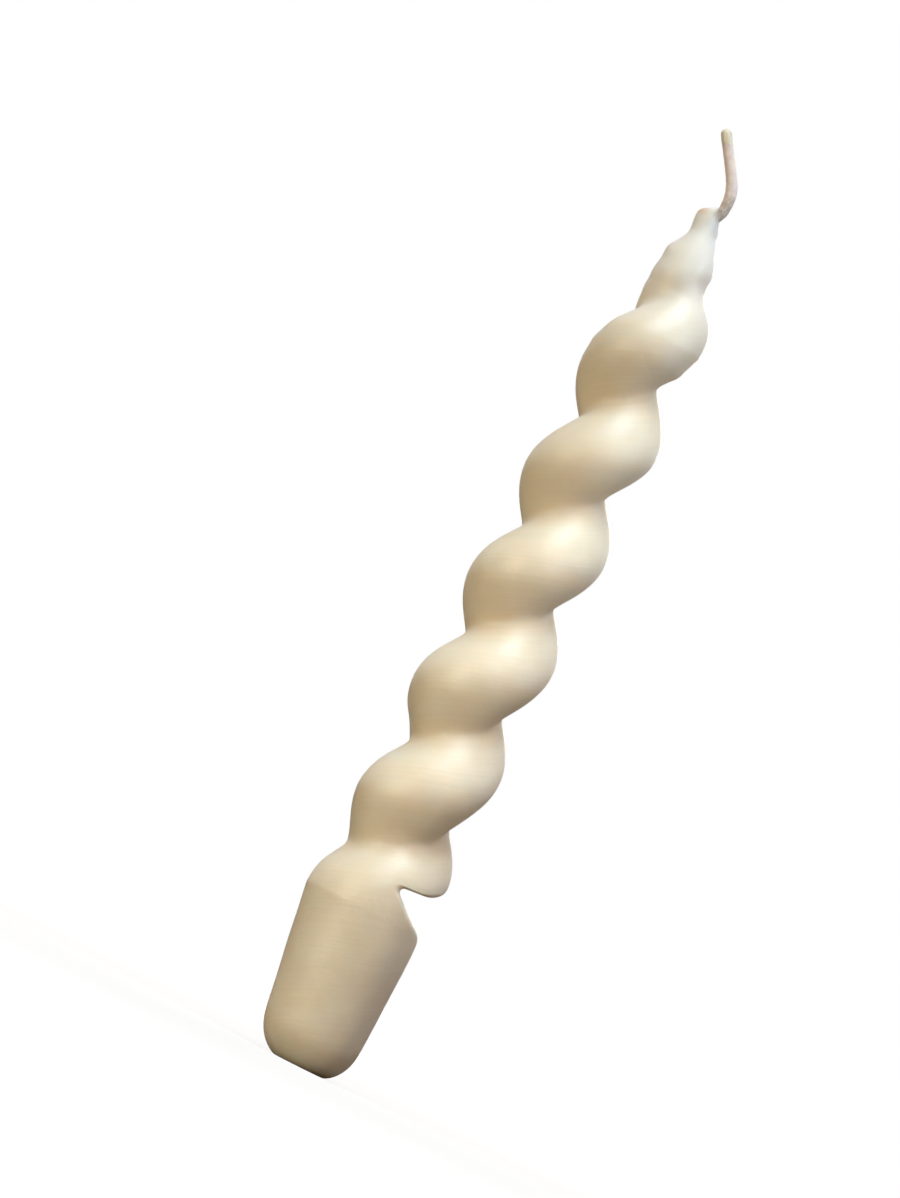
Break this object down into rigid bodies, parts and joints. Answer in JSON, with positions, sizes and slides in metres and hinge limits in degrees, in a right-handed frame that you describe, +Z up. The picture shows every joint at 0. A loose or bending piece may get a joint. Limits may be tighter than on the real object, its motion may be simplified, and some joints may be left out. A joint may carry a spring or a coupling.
{
  "type": "spiral candle",
  "caption": "Ivory wax candle with one deep spiral groove, a tapered plug foot, a drawn-in tip and a waxed braided wick.",
  "frame": {"origin": "on the column's axis, in the plane of the flat bottom of the foot", "axes": "+Z up the column towards the wick, +X towards the notch over the foot's shoulder, the wick leans to -X"},
  "size_m": [0.0258, 0.0256, 0.206],
  "materials": {
    "ivory_wax": "satin",
    "waxed_cotton": "matte",
    "bead_wax": "satin"
  },
  "bodies": {
    "root": {"wax_body": "ivory_wax", "wick": "waxed_cotton", "wick_end_bead": "bead_wax"}
  },
  "joints": []
}
